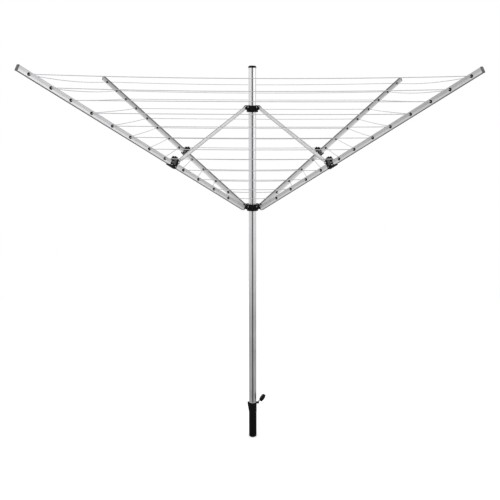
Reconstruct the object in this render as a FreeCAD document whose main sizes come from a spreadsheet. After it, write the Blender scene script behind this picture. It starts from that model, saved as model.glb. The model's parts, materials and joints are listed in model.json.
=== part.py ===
import FreeCAD, Part
import math
import os
import re
import Sketcher

# Rotary clothesline: four arms fold up round a mast that turns in a ground socket.
# Millimetres, +Z up. The origin is the centre of the socket's closed lower end.
# Arm 1 points to 45 degrees (between +X and +Y), the others follow every 90 degrees.

doc = FreeCAD.newDocument("rotary_clothesline")
sheet = doc.addObject("Spreadsheet::Sheet", "sheet")

# ---------------------------------------------------------------- driving dimensions
SIZES = {
    # ground socket, buried up to its mouth
    "socket_length": 212, "socket_wall": 3, "socket_bore": 19, "socket_floor": 6,
    "socket_edge": 6, "mouth_band": 0.6, "drain_radius": 4,
    "lip_reach": 8.5, "lip_length": 58, "lip_width": 15, "lip_land": 4,
    # hinged weather lid of the socket
    "lid_pivot_reach": 11, "lid_pivot_rise": 1.6, "lid_over": 0.5, "lid_rim": 12,
    "lid_dome": 5, "lid_plug_gap": 0.6, "lid_plug_depth": 4, "lid_open": 126,
    "lid_strap_thick": 4,
    "lug_radius": 3.6, "knuckle_width": 9.4, "lug_wall": 3.4, "lid_pin_radius": 1.6,
    # foot spigot that carries the mast
    "spigot_wall": 3.45, "foot_gap": 2, "flange_thick": 3.5,
    "spindle_radius": 12, "spindle_length": 92, "spindle_bore": 8,
    # mast: round tube with four grooves
    "mast_radius": 21, "mast_wall": 1.6, "mast_length": 1882,
    "groove_width": 8, "groove_depth": 4, "bush_length": 84, "cap_plug": 22,
    "cap_over": 1.2, "cap_skirt": 6, "cap_dome": 12,
    # hubs on the mast: heights and depths count from the pivots
    "hub_low": 1358, "hub_wall": 7, "hub_up": 8, "hub_down": 27, "liner_wall": 2.7,
    "pivot_reach": 13, "ear_radius": 9, "toe_reach": 8, "toe_drop": 6, "ear_wall": 4.2,
    "tongue": 11, "pin_radius": 3, "pin_head": 4.6, "pin_head_thick": 1.6,
    # two small hooks at the sides of the upper hub
    "hook_reach": 27.5, "hook_width": 12, "hook_thick": 3, "hook_rise": 6, "hook_root": 9.5,
    # clamp levers on the hubs
    "lever_reach": 7, "lever_eye": 5.5, "lever_width": 13, "lever_length": 46,
    "lever_thick": 5, "lever_pin": 2, "lever_lug": 3.5,
    # arms
    "arm_length": 1499, "arm_start": 20, "arm_width": 15, "arm_height": 27, "arm_wall": 1.5,
    "arm_edge": 2.2, "arm_drop": 17, "root_eye": 8, "root_plug": 46, "tip_thick": 6,
    "tip_plug": 24, "tip_over": 0.6,
    # eyelets, from the hub outwards, and line
    "eyelet_a": 155, "eyelet_b": 272, "eyelet_c": 393, "eyelet_d": 505.5, "eyelet_e": 638,
    "eyelet_f": 744, "eyelet_g": 868, "eyelet_h": 981.5, "eyelet_i": 1105.5,
    "eyelet_j": 1224, "eyelet_k": 1332.5, "eyelet_l": 1447.5,
    "eyelet_flange": 7.6, "eyelet_lip": 2, "eyelet_radius": 4.6, "eyelet_bore": 2.3,
    "line_radius": 1.65, "line_bend": 8,
    # collars and struts
    "collar_at": 553, "collar_lift": 6.5, "collar_length": 40, "collar_foot": 12,
    "collar_wall": 3.5, "cheek_radius": 8, "fin_start": 16, "fin_length": 16,
    "fin_height": 26,
    "link_slope": 28.93, "strut_height": 19, "strut_thick": 10, "strut_wall": 1.2,
    "strut_eye": 6, "strut_bare": 26, "strut_plug": 30,
    # clearances
    "gap": 0.3, "run_fit": 0.05, "press_fit": 0.02, "stop_gap": 0.15,
}
EYELETS = "abcdefghijkl"
ARMS = (1, 2, 3, 4)

for row, (alias, value) in enumerate(SIZES.items(), start=1):
    sheet.set(f"A{row}", alias.replace("_", " "))
    sheet.set(f"B{row}", str(value))
    sheet.setAlias(f"B{row}", alias)

# Sizes that follow from the driving ones, as expressions.
# The four-bar frame of each arm is a rhombus half: the link from the arm's pivot to the
# strut's pivot is as long as the strut, and both hub pivots are equally far out, so the
# strut, the arm and the lower hub turn in the exact ratios 1, -2 and 1.
DERIVED = {
    "socket_radius": "(socket_bore + socket_wall)",
    "mouth_radius": "(socket_radius + mouth_band)",
    "lid_pivot_out": "(socket_radius + lid_pivot_reach)",
    "lid_radius": "(socket_radius + lid_over)",
    "lid_plug": "(socket_bore - lid_plug_gap)",
    "spigot_radius": "(socket_bore - run_fit)",
    "spigot_bore": "(spigot_radius - spigot_wall)",
    "flange_radius": "max(mast_radius; socket_bore + socket_wall / 2)",
    "hub_radius": "(liner_radius + hub_wall)",
    "pivot_out": "(hub_radius + pivot_reach)",
    "lever_out": "(hub_radius + lever_reach)",
    "link_rise": "(arm_top + collar_lift)",
    "link_length": "(sqrt(collar_at ^ 2 + link_rise ^ 2))",
    "link_lift": "(atan(link_rise / collar_at))",
    "strut_slope": "(link_slope * 1 deg)",
    "arm_slope": "(strut_slope - link_lift)",
    "hub_high": "(hub_low + 2 * link_length * sin(strut_slope))",
    "mast_foot": "(socket_length + gap + flange_thick + gap)",
    "mast_top": "(mast_foot + mast_length)",
    "slot_width": "(tongue + 2 * gap)",
    "ear_width": "(slot_width + 2 * ear_wall)",
    "liner_bore": "(mast_radius + gap)",
    "liner_radius": "(liner_bore + liner_wall)",
    "arm_top": "(arm_height / 2 - arm_drop)",
    "arm_base": "(-arm_height / 2 - arm_drop)",
    "eyelet_span": "(arm_width + 2 * eyelet_lip)",
    "eyelet_level": "(-arm_drop)",
    "collar_width": "(arm_width + 2 * collar_wall)",
    "collar_end": "(collar_at + collar_length)",
    "fin_top": "(arm_top + fin_height)",
    "lever_outer": "(lever_width + 2 * gap + 2 * lever_lug)",
}
WORD = re.compile(r"[a-z]+(?:_[a-z]+)+|\bgap\b|\btongue\b")


def ex(text):
    """Writes a size formula as a FreeCAD expression on the sheet."""
    def swap(match):
        word = match.group(0)
        if word in DERIVED:
            return ex(DERIVED[word])
        return f"sheet.{word}" if word in SIZES else word
    return WORD.sub(swap, str(text))


doc.recompute()


def value(text):
    """The number of a size formula, for the few shapes that are made without features."""
    probe.setExpression("value", ex(text))
    probe.recompute()
    return float(probe.value)


probe = doc.addObject("App::FeaturePython", "probe")
probe.addProperty("App::PropertyFloat", "value")


# ---------------------------------------------------------------- building blocks
def new(kind, name, sizes):
    feature = doc.addObject(kind, name)
    for key, text in sizes.items():
        feature.setExpression(key, ex(text))
    return feature


def put(feature, x=0, y=0, z=0, yaw=0, pitch=0, roll=0):
    place = f"placement(vector({x}; {y}; {z}); rotation({yaw}; {pitch}; {roll}))"
    feature.setExpression("Placement", ex(place))
    return feature


def rod(name, radius, length, x=0, y=0, z=0):
    """A cylinder that stands up from a point."""
    return put(new("Part::Cylinder", name, {"Radius": radius, "Height": length}), x, y, z)


def rod_along_x(name, radius, length, x=0, y=0, z=0):
    shaft = new("Part::Cylinder", name, {"Radius": radius, "Height": length})
    return put(shaft, x, y, z, 0, 90, 0)


def cross_rod(name, radius, length, x=0, z=0):
    """A cylinder along Y, centred on the XZ plane."""
    shaft = new("Part::Cylinder", name, {"Radius": radius, "Height": length})
    return put(shaft, x, f"({length}) / 2", z, 0, 0, 90)


def block(name, length, width, height, x=0, z=0):
    """A box from x and z, centred on the XZ plane."""
    solid = new("Part::Box", name, {"Length": length, "Width": width, "Height": height})
    return put(solid, x, f"-({width}) / 2", z)


def fuse(name, parts):
    feature = doc.addObject("Part::MultiFuse", name)
    feature.Shapes = parts
    feature.Refine = True
    return feature


def group(name, parts):
    feature = doc.addObject("Part::Compound", name)
    feature.Links = parts
    return feature


def cut(name, base, tools):
    feature = doc.addObject("Part::Cut", name)
    feature.Base = base
    feature.Tool = tools[0] if len(tools) == 1 else group(f"{name}_tools", tools)
    return feature


def common(name, first, second):
    feature = doc.addObject("Part::Common", name)
    feature.Base = first
    feature.Tool = second
    return feature


def outline(body, role, points):
    """A closed sketch whose corners are each held at two distances from the origin."""
    sketch = body.newObject("Sketcher::SketchObject", f"{body.Name}_outline")
    plane = next(item for item in body.Origin.OriginFeatures if item.Role == role)
    sketch.AttachmentSupport = (plane, [""])
    sketch.MapMode = "FlatFace"
    count = len(points)
    ring = [FreeCAD.Vector(math.cos(math.tau * i / count), math.sin(math.tau * i / count), 0)
            for i in range(count)]
    for i in range(count):
        sketch.addGeometry(Part.LineSegment(ring[i], ring[(i + 1) % count]))
    for i in range(count):
        sketch.addConstraint(Sketcher.Constraint("Coincident", i, 2, (i + 1) % count, 1))
    for i, corner in enumerate(points):
        for way, text in zip(("DistanceX", "DistanceY"), corner):
            held = sketch.addConstraint(Sketcher.Constraint(way, -1, 1, i, 1, 1.0))
            sketch.setExpression(f"Constraints[{held}]", ex(text))
    return sketch


def plate(name, width, points):
    """A flat piece drawn in the XZ plane, with its thickness centred on it."""
    body = doc.addObject("PartDesign::Body", name)
    pad = body.newObject("PartDesign::Pad", f"{name}_pad")
    pad.Profile = outline(body, "XZ_Plane", points)
    pad.SideType = "Symmetric"
    pad.setExpression("Length", ex(width))
    body.Tip = pad
    return body


def turned(name, points):
    """A round piece: a half section in the XZ plane turned about Z."""
    body = doc.addObject("PartDesign::Body", name)
    sketch = outline(body, "XZ_Plane", points)
    turn = body.newObject("PartDesign::Revolution", f"{name}_turn")
    turn.Profile = sketch
    turn.ReferenceAxis = (sketch, ["V_Axis"])
    turn.Angle = 360
    body.Tip = turn
    return body


def lobed(name, radius, inset, length, z=0):
    """A round bar with the mast's four grooves, its grooves inset deeper by a margin."""
    bar = rod(f"{name}_bar", radius, length, 0, 0, z)
    floor = f"(mast_radius - groove_depth - ({inset}))"
    width = f"(groove_width + 2 * ({inset}))"
    grooves = []
    for side in range(4):
        groove = new("Part::Box", f"{name}_groove_{side}",
                     {"Length": radius, "Width": width, "Height": length})
        turn = 90 * side
        put(groove, f"{floor} * cos({turn}) + {width} / 2 * sin({turn})",
            f"{floor} * sin({turn}) - {width} / 2 * cos({turn})", z, turn)
        grooves.append(groove)
    return cut(name, bar, grooves)


def oval(name, length, height, thick, x):
    """A bar along X with a flat-sided oval section."""
    half = f"(({height}) - ({thick})) / 2"
    core = block(f"{name}_core", length, thick, f"({height}) - ({thick})", x, f"-{half}")
    upper = rod_along_x(f"{name}_upper", f"({thick}) / 2", length, x, 0, half)
    lower = rod_along_x(f"{name}_lower", f"({thick}) / 2", length, x, 0, f"-{half}")
    return fuse(name, [core, upper, lower])


NODES = {}


def piece(label, feature):
    """Names a finished sub-part, which becomes a node of its own."""
    feature.Label = label
    NODES[label] = feature


def azimuth(number):
    return 45 + 90 * (number - 1)


def in_arm(feature, number):
    """Puts a piece drawn from the arm's pivot, with X along the arm, in its place."""
    turn = azimuth(number)
    return put(feature, f"pivot_out * cos({turn})", f"pivot_out * sin({turn})", "hub_low",
               turn, "-arm_slope")


def in_strut(feature, number):
    """Puts a piece drawn from the strut's upper pivot, with X down along the strut."""
    turn = azimuth(number)
    return put(feature, f"pivot_out * cos({turn})", f"pivot_out * sin({turn})", "hub_high",
               turn, "strut_slope")


# ---------------------------------------------------------------- ground socket and lid
def build_ground_socket():
    tube = turned("socket_tube", [
        ("drain_radius", 0), ("socket_radius - socket_edge", 0),
        ("socket_radius", "socket_edge"), ("socket_radius", "socket_length - lip_length"),
        ("mouth_radius", "socket_length - lip_length"), ("mouth_radius", "socket_length"),
        ("socket_bore", "socket_length"), ("socket_bore", "socket_floor"),
        ("drain_radius", "socket_floor")])
    inner = "(-(socket_radius + socket_bore) / 2)"
    lip = plate("socket_lip", "lip_width", [
        (inner, "socket_length"),
        (inner, "socket_length - lip_length"),
        ("-socket_radius", "socket_length - lip_length"),
        ("-socket_radius - lip_reach", "socket_length - lip_land"),
        ("-socket_radius - lip_reach", "socket_length")])
    lug_width = "(knuckle_width + 2 * gap + 2 * lug_wall)"
    lug_root = "(socket_bore + socket_wall / 3)"
    lug_base = block("lug_base", f"lid_pivot_out + lug_radius - {lug_root}", lug_width,
                     "2 * lug_radius", lug_root, "socket_length - 2 * lug_radius")
    height = "socket_length + lid_pivot_rise"
    lug_eye = cross_rod("lug_eye", "lug_radius", lug_width, "lid_pivot_out", height)
    slot = block("lug_slot", "3 * lug_radius", "knuckle_width + 2 * gap", "5 * lug_radius",
                 "lid_pivot_out - lug_radius - 0.5", "socket_length - 3 * lug_radius")
    hole = cross_rod("lug_hole", "lid_pin_radius + press_fit", f"{lug_width} + 2",
                     "lid_pivot_out", height)
    lug = cut("lug", fuse("lug_blank", [lug_base, lug_eye]), [slot, hole])
    piece("ground_socket", fuse("socket", [tube, lip, lug]))
    pin = cross_rod("hinge_pin", "lid_pin_radius", f"{lug_width} + 1.6", "lid_pivot_out", height)
    piece("lid_hinge_pin", pin)


def build_socket_lid():
    """Drawn closed, from the hinge axis, then swung open."""
    seat = "(gap - lid_pivot_rise)"
    centre = "-lid_pivot_out"
    rim = rod("lid_rim_disc", "lid_radius", "lid_rim", centre, 0, seat)
    crown = f"({seat} + lid_rim)"
    ball_radius = "((lid_radius ^ 2 + lid_dome ^ 2) / (2 * lid_dome))"
    ball = put(new("Part::Sphere", "lid_ball", {"Radius": ball_radius}),
               centre, 0, f"{crown} + lid_dome - {ball_radius}")
    dome_bar = rod("lid_dome_bar", "lid_radius", "lid_dome + 1", centre, 0, crown)
    dome = common("lid_dome_cap", dome_bar, ball)
    plug = rod("lid_plug_bar", "lid_plug", "lid_plug_depth + 1", centre, 0,
               f"{seat} - lid_plug_depth")
    strap = block("lid_strap", "lid_pivot_out - lid_radius + 4", "knuckle_width",
                  "lid_strap_thick",
                  "lid_radius - lid_pivot_out - 4", seat)
    knuckle = cross_rod("lid_knuckle", "lug_radius - gap", "knuckle_width")
    shell = fuse("lid_shell", [rim, dome, plug, strap, knuckle])
    bore = cross_rod("lid_bore", "lid_pin_radius + run_fit", "knuckle_width + 2")
    lid = cut("lid", shell, [bore])
    put(lid, "lid_pivot_out", 0, "socket_length + lid_pivot_rise", 0, "lid_open")
    piece("socket_lid", lid)


# ---------------------------------------------------------------- foot, mast and cap
def build_foot_spigot():
    flange = "(socket_length + gap)"
    shoulder = f"({flange} + flange_thick)"
    piece("foot_spigot", turned("spigot", [
        ("spindle_bore", f"{flange} - flange_thick"),
        ("spigot_bore", f"{flange} - flange_thick - spigot_bore + spindle_bore"),
        ("spigot_bore", "socket_floor + foot_gap"), ("spigot_radius", "socket_floor + foot_gap"),
        ("spigot_radius", flange), ("flange_radius", flange), ("flange_radius", shoulder),
        ("spindle_radius", shoulder), ("spindle_radius", f"{shoulder} + spindle_length"),
        ("spindle_bore", f"{shoulder} + spindle_length")]))


def build_mast():
    outer = lobed("mast_outer", "mast_radius", 0, "mast_length", "mast_foot")
    cavity = lobed("mast_cavity", "mast_radius - mast_wall", "mast_wall", "mast_length + 2",
                   "mast_foot - 1")
    piece("mast", cut("mast_tube", outer, [cavity]))
    fit = "(mast_wall + 2 * run_fit)"
    bar = lobed("bush_bar", f"mast_radius - {fit}", fit, "bush_length", "mast_foot")
    bore = rod("bush_bore", "spindle_radius + run_fit", "bush_length + 2", 0, 0,
               "mast_foot - 1")
    piece("mast_foot_bush", cut("bush", bar, [bore]))


def build_mast_cap():
    fit = "(mast_wall + 2 * run_fit)"
    plug = lobed("cap_plug_bar", f"mast_radius - {fit}", fit, "cap_plug", "mast_top - cap_plug")
    edge = "(mast_radius + cap_over)"
    dome = turned("cap_dome_round", [
        (0, "mast_top"), (edge, "mast_top"), (edge, "mast_top + cap_skirt"),
        (f"0.78 * {edge}", "mast_top + 0.8 * cap_dome + 0.2 * cap_skirt"),
        (f"0.5 * {edge}", "mast_top + cap_dome"), (0, "mast_top + cap_skirt")])
    lobes = lobed("cap_lobes", edge, "-cap_over / 2", "cap_dome", "mast_top")
    piece("mast_top_cap", fuse("cap", [plug, common("cap_head", dome, lobes)]))


# ---------------------------------------------------------------- hubs and clamp levers
def hooks(name):
    """Two small arched hooks, drawn from the ring outwards."""
    root = "(hub_radius - hub_wall / 2)"
    tip = "(hub_radius + hook_reach)"
    crest = f"({tip} - 11)"
    low = "(-hook_root)"
    high = f"({low} + hook_rise)"
    pair = []
    for side in (0, 180):
        arch = plate(f"{name}_hook_{side}", "hook_width", [
            (root, f"{low} - hook_thick / 2"), ("hub_radius + 10", f"{low} - hook_thick / 2"),
            (crest, f"{high} - hook_thick"), (f"{tip} - 2", f"{low} - hook_thick - 2"),
            (tip, f"{low} - hook_thick"), (f"{crest} + 2", high), (f"{crest} - 3", high),
            ("hub_radius + 8", f"{low} + hook_thick / 2"), (root, f"{low} + hook_thick / 2")])
        pair.append(put(arch, yaw=side))
    return pair


def build_hub(name, height, hooked=False):
    """A ring round the mast with four forked ears, a liner, pins and a clamp lever."""
    long_ring = "(hub_up + hub_down)"
    ring = rod(f"{name}_ring", "hub_radius", long_ring, 0, 0, "-hub_down")
    root = "(hub_radius - hub_wall / 2)"
    solids = [ring]
    pins = []
    for number in ARMS:
        mark = f"{name}_{number}"
        web = block(f"{mark}_web", f"pivot_out - {root}", "ear_width", "2 * ear_radius",
                    root, "-ear_radius")
        eye = cross_rod(f"{mark}_eye", "ear_radius", "ear_width", "pivot_out")
        toe_web = block(f"{mark}_toe_web", f"pivot_out + toe_reach - {root}", "ear_width",
                        "2 * ear_radius", root, "-ear_radius - toe_drop")
        toe = cross_rod(f"{mark}_toe", "ear_radius", "ear_width", "pivot_out + toe_reach",
                        "-toe_drop")
        slot = block(f"{mark}_slot", "pivot_out", "slot_width", "2 * hub_down",
                     "pivot_out - root_eye - 2", "-hub_down")
        hole = cross_rod(f"{mark}_hole", "pin_radius + press_fit", "ear_width + 2",
                         "pivot_out")
        fork = fuse(f"{mark}_fork", [web, eye, toe_web, toe])
        ear = cut(f"{mark}_ear", fork, [slot, hole])
        solids.append(put(ear, yaw=azimuth(number)))
        shank = cross_rod(f"{mark}_shank", "pin_radius", "ear_width", "pivot_out")
        heads = [cross_rod(f"{mark}_head_{side}", "pin_head", "pin_head_thick", "pivot_out")
                 for side in ("left", "right")]
        for head, sign in zip(heads, (1, -1)):
            put(head, "pivot_out",
                f"{sign} * (ear_width + pin_head_thick) / 2 + pin_head_thick / 2", 0, 0, 0, 90)
        pin = fuse(f"{mark}_pin", [shank] + heads)
        pins.append(put(pin, yaw=azimuth(number)))
    lug = block(f"{name}_lug_web", f"lever_out - {root}", "lever_outer", "2 * lever_eye",
                root, "-lever_eye")
    lug_eye = cross_rod(f"{name}_lug_eye", "lever_eye", "lever_outer", "lever_out")
    lug_slot = block(f"{name}_lug_slot", "lever_out", "lever_width + 2 * gap",
                     "4 * lever_eye", "hub_radius + 1", "-2 * lever_eye")
    lug_hole = cross_rod(f"{name}_lug_hole", "lever_pin + press_fit", "lever_outer + 2",
                         "lever_out")
    lever_lug = cut(f"{name}_lug", fuse(f"{name}_lug_blank", [lug, lug_eye]),
                    [lug_slot, lug_hole])
    solids.append(put(lever_lug, yaw=90))
    solids += hooks(name) if hooked else []
    bore = rod(f"{name}_bore", "liner_radius + press_fit", f"{long_ring} + 2", 0, 0,
               "-hub_down - 1")
    piece(name, put(cut(f"{name}_body", fuse(f"{name}_blank", solids), [bore]), z=height))
    build_liner(name, height, long_ring)
    piece(f"{name}_pins", put(group(f"{name}_pin_set", pins), z=height))
    build_lever(name, height)


def build_liner(name, height, length):
    """The plastic sleeve that slides on the mast, with a key in each groove."""
    tube = rod(f"{name}_liner_bar", "liner_radius", length, 0, 0, "-hub_down")
    mast_space = lobed(f"{name}_mast_space", "liner_bore", "-gap", f"{length} + 2",
                       "-hub_down - 1")
    piece(f"{name}_liner", put(cut(f"{name}_sleeve", tube, [mast_space]), z=height))


def build_lever(name, height):
    """A cam lever that hangs down behind its hub and squeezes the liner when shut."""
    eye = cross_rod(f"{name}_cam_eye", "lever_eye", "lever_width", "lever_out")
    inner = "(lever_out + lever_eye - lever_thick)"
    outer = "(lever_out + lever_eye)"
    blade = plate(f"{name}_blade", "lever_width", [
        (inner, 0), (outer, 0), (outer, "-lever_length * 0.7"),
        (f"{outer} + 3", "-lever_length"), (f"{inner} + 4", "-lever_length"),
        (inner, "-lever_length * 0.7")])
    bore = cross_rod(f"{name}_cam_bore", "lever_pin + run_fit", "lever_width + 2",
                     "lever_out")
    lever = cut(f"{name}_cam", fuse(f"{name}_cam_blank", [eye, blade]), [bore])
    piece(f"{name}_lever", put(lever, z=height, yaw=90))
    pin = cross_rod(f"{name}_cam_pin", "lever_pin", "lever_outer + 1.6", "lever_out")
    piece(f"{name}_lever_pin",
          put(group(f"{name}_cam_pin_set", [pin]), z=height, yaw=90))


# ---------------------------------------------------------------- arms
def eyelet_places():
    """Where the eyelets sit along an arm, from the hub outwards."""
    return [f"eyelet_{letter}" for letter in EYELETS]


def build_eyelet_blank():
    """One eyelet, centred at the origin, that each arm's set repeats."""
    barrel = cross_rod("eyelet_barrel", "eyelet_radius", "eyelet_span")
    flange = cross_rod("eyelet_flanges", "eyelet_flange", "eyelet_span")
    waist = cross_rod("eyelet_waist", "eyelet_flange + 1", "arm_width")
    flanges = cut("eyelet_two_flanges", flange, [waist])
    bore = cross_rod("eyelet_hole", "eyelet_bore", "eyelet_span + 2")
    return cut("eyelet_blank", fuse("eyelet_solid", [barrel, flanges]), [bore])


def build_arm(number, eyelet):
    mark = f"arm_{number}"
    start = "arm_start"
    long_tube = "(arm_length - arm_start)"
    outer = block(f"{mark}_bar", long_tube, "arm_width", "arm_height", start, "arm_base")
    rounded = doc.addObject("Part::Fillet", f"{mark}_rounded")
    rounded.Base = outer
    doc.recompute()
    along = FreeCAD.Vector(1, 0, 0)
    edge = float(sheet.arm_edge)
    rounded.Edges = [(i, edge, edge) for i, item in enumerate(outer.Shape.Edges, start=1)
                     if abs(item.tangentAt(item.FirstParameter).dot(along)) > 0.9]
    hollow = block(f"{mark}_hollow", f"{long_tube} + 2", "arm_width - 2 * arm_wall",
                   "arm_height - 2 * arm_wall", f"{start} - 1", "arm_base + arm_wall")
    places = eyelet_places()
    holes = [cross_rod(f"{mark}_eyelet_hole_{i}", "eyelet_radius + press_fit",
                       "arm_width + 2", at, "eyelet_level")
             for i, at in enumerate(places, start=1)]
    tube = cut(f"{mark}_tube", rounded, [hollow] + holes)
    piece(mark, in_arm(tube, number))

    eyelets = []
    for i, at in enumerate(places, start=1):
        link = doc.addObject("App::Link", f"{mark}_eyelet_{i}")
        link.LinkedObject = eyelet
        eyelets.append(put(link, at, 0, "eyelet_level"))
    piece(f"line_eyelets_{number}", in_arm(group(f"{mark}_eyelets", eyelets), number))

    inside_width = "(arm_width - 2 * arm_wall - 2 * press_fit)"
    inside_height = "(arm_height - 2 * arm_wall - 2 * press_fit)"
    inside_base = "(arm_base + arm_wall + press_fit)"
    top = f"({inside_base} + {inside_height})"
    tongue = plate(f"{mark}_tongue", "tongue", [
        (0, "-root_eye"), ("arm_start * 0.8", inside_base),
        ("arm_start + 2", inside_base), ("arm_start + 2", top),
        ("arm_start * 0.8", top), (0, "root_eye")])
    root_eye = cross_rod(f"{mark}_root_eye", "root_eye", "tongue")
    root_plug = block(f"{mark}_root_plug", "root_plug", inside_width, inside_height,
                      "arm_start + 1", inside_base)
    root_bore = cross_rod(f"{mark}_root_bore", "pin_radius + run_fit", "tongue + 2")
    root = cut(f"{mark}_root_body", fuse(f"{mark}_root_blank", [tongue, root_eye, root_plug]),
               [root_bore])
    piece(f"arm_root_{number}", in_arm(root, number))

    face = block(f"{mark}_tip_face", "tip_thick", "arm_width + 2 * tip_over",
                 "arm_height + 2 * tip_over", "arm_length + press_fit", "arm_base - tip_over")
    tip_plug = block(f"{mark}_tip_plug", "tip_plug + 1", inside_width, inside_height,
                     "arm_length - tip_plug", inside_base)
    piece(f"arm_tip_cap_{number}", in_arm(fuse(f"{mark}_tip", [face, tip_plug]), number))


def build_collar(number):
    """A saddle clamped round the arm, with two tall cheeks that hold the strut's pin."""
    mark = f"collar_{number}"
    base = "(arm_base - collar_wall)"
    saddle = block(f"{mark}_saddle", "collar_length", "collar_width",
                   f"arm_top - {base} + 2", "collar_at", base)
    foot = block(f"{mark}_foot", "collar_length + collar_foot", "collar_width",
                 "collar_wall + 2", "collar_at", base)
    pivot = ("collar_at", "link_rise")
    cheeks = plate(f"{mark}_cheeks", "collar_width", [
        ("collar_at", "arm_top - 2"),
        ("collar_at", "link_rise + cheek_radius"),
        ("collar_at + fin_start", "fin_top"),
        ("collar_at + fin_start + fin_length", "fin_top"),
        ("collar_end", "arm_top + 2"),
        ("collar_end", "arm_top - 2")])
    eye = cross_rod(f"{mark}_eye", "cheek_radius", "collar_width", *pivot)
    tunnel = block(f"{mark}_tunnel", "collar_length + collar_foot + cheek_radius + 2",
                   "arm_width + 2 * press_fit", "arm_height + 2 * press_fit",
                   "collar_at - cheek_radius - 1", "arm_base - press_fit")
    slot = block(f"{mark}_slot", "3 * collar_length", "slot_width", "3 * fin_height",
                 "collar_at - collar_length", "arm_top - 1")
    hole = cross_rod(f"{mark}_hole", "pin_radius + press_fit", "collar_width + 2", *pivot)
    body = cut(f"{mark}_body", fuse(f"{mark}_blank", [saddle, foot, cheeks, eye]),
               [tunnel, slot, hole])
    piece(f"strut_collar_{number}", in_arm(body, number))
    shank = cross_rod(f"{mark}_shank", "pin_radius", "collar_width + 2", *pivot)
    rim = cross_rod(f"{mark}_rim", "pin_head", "collar_width + 2 * pin_head_thick", *pivot)
    between = cross_rod(f"{mark}_between", "pin_head + 1", "collar_width", *pivot)
    heads = cut(f"{mark}_heads", rim, [between])
    piece(f"collar_pin_{number}", in_arm(fuse(f"{mark}_pin", [shank, heads]), number))


def build_strut(number):
    """An oval tube with a plastic end in each mouth, drawn from its upper pivot."""
    mark = f"strut_{number}"
    bare = "(link_length - 2 * strut_bare)"
    outer = oval(f"{mark}_outer", bare, "strut_height", "strut_thick", "strut_bare")
    inner_height = "(strut_height - 2 * strut_wall)"
    inner_thick = "(strut_thick - 2 * strut_wall)"
    inner = oval(f"{mark}_inner", f"{bare} + 2", inner_height, inner_thick, "strut_bare - 1")
    piece(mark, in_strut(cut(f"{mark}_tube", outer, [inner]), number))
    ends = []
    slack = "2 * press_fit"
    for side, pivot, way in (("top", "0", 1), ("foot", "link_length", -1)):
        first = pivot if way > 0 else f"{pivot} - strut_bare"
        deep = f"{pivot} + strut_bare - 1" if way > 0 else f"{pivot} - strut_bare - strut_plug"
        bar = block(f"{mark}_{side}_bar", "strut_bare", "tongue", "2 * strut_eye", first,
                    "-strut_eye")
        eye = cross_rod(f"{mark}_{side}_eye", "strut_eye", "tongue", pivot)
        plug = oval(f"{mark}_{side}_plug", "strut_plug + 1", f"{inner_height} - {slack}",
                    f"{inner_thick} - {slack}", deep)
        bore = cross_rod(f"{mark}_{side}_bore", "pin_radius + run_fit", "tongue + 2", pivot)
        blank = fuse(f"{mark}_{side}_blank", [bar, eye, plug])
        ends.append(cut(f"{mark}_{side}", blank, [bore]))
    piece(f"strut_ends_{number}", in_strut(group(f"{mark}_end_set", ends), number))


# ---------------------------------------------------------------- line
def build_lines(number):
    """The twelve stretches of line that pass through one arm's eyelets.

    Each runs level from the middle of one side of its ring, through the eyelet, to the
    middle of the next side, and ends just short of its neighbour's end.
    """
    slope = math.radians(value("arm_slope / 1 deg"))
    level = value("eyelet_level")
    radius = value("line_radius")
    bend = value("line_bend")
    half_span = value("eyelet_span / 2")
    tangent = bend * math.tan(math.radians(22.5))
    turn = FreeCAD.Rotation(FreeCAD.Vector(0, 0, 1), azimuth(number))
    solids = []
    for at in eyelet_places():
        along = value(at)
        out = value("pivot_out") + along * math.cos(slope) - level * math.sin(slope)
        height = value("hub_low") + along * math.sin(slope) + level * math.cos(slope)
        corner = half_span + tangent
        middle = (out + corner) / 2 - value("stop_gap")
        inset = tangent * math.sqrt(0.5)
        knee = bend * math.sin(math.radians(22.5))
        belly = bend - bend * math.cos(math.radians(22.5))
        half = [FreeCAD.Vector(middle, middle, height),
                FreeCAD.Vector(out - inset, corner + inset, height),
                FreeCAD.Vector(out - belly, corner - tangent + knee, height),
                FreeCAD.Vector(out, corner - tangent, height)]
        other = [FreeCAD.Vector(p.x, -p.y, p.z) for p in half]
        edges = [Part.LineSegment(half[0], half[1]), Part.Arc(*half[1:4]),
                 Part.LineSegment(half[3], other[3]), Part.Arc(*other[3:0:-1]),
                 Part.LineSegment(other[1], other[0])]
        path = Part.Wire([edge.toShape() for edge in edges])
        start = Part.Circle(half[0], half[1] - half[0], radius).toShape()
        solids.append(path.makePipeShell([Part.Wire(start)], True, False))
    feature = doc.addObject("Part::Feature", f"line_set_{number}")
    feature.Shape = Part.makeCompound(solids)
    feature.Placement = FreeCAD.Placement(FreeCAD.Vector(0, 0, 0), turn)
    piece(f"lines_{number}", feature)


# ---------------------------------------------------------------- the whole clothesline
build_ground_socket()
build_socket_lid()
build_foot_spigot()
build_mast()
build_mast_cap()
build_hub("lower_hub", "hub_low")
build_hub("upper_hub", "hub_high", hooked=True)
eyelet_blank = build_eyelet_blank()
for arm_number in ARMS:
    build_arm(arm_number, eyelet_blank)
    build_collar(arm_number)
    build_strut(arm_number)
doc.recompute()
for arm_number in ARMS:
    build_lines(arm_number)
doc.recompute()

for item in doc.Objects:
    if "Invalid" in item.State or "Error" in item.State:
        raise RuntimeError(f"{item.Name} failed: {item.State}")
os.makedirs("parts", exist_ok=True)
for label, item in NODES.items():
    if item.Shape.isNull() or not item.Shape.isValid() or not item.Shape.Solids:
        raise RuntimeError(f"{label} has no valid solid")
for label, item in NODES.items():
    item.Shape.exportStep(f"parts/{label}.step")
print(len(NODES), "sub-parts, hub heights",
      round(value("hub_low"), 1), round(value("hub_high"), 1),
      "arm slope", round(value("arm_slope / 1 deg"), 3))
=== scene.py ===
import json
import math

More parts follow.
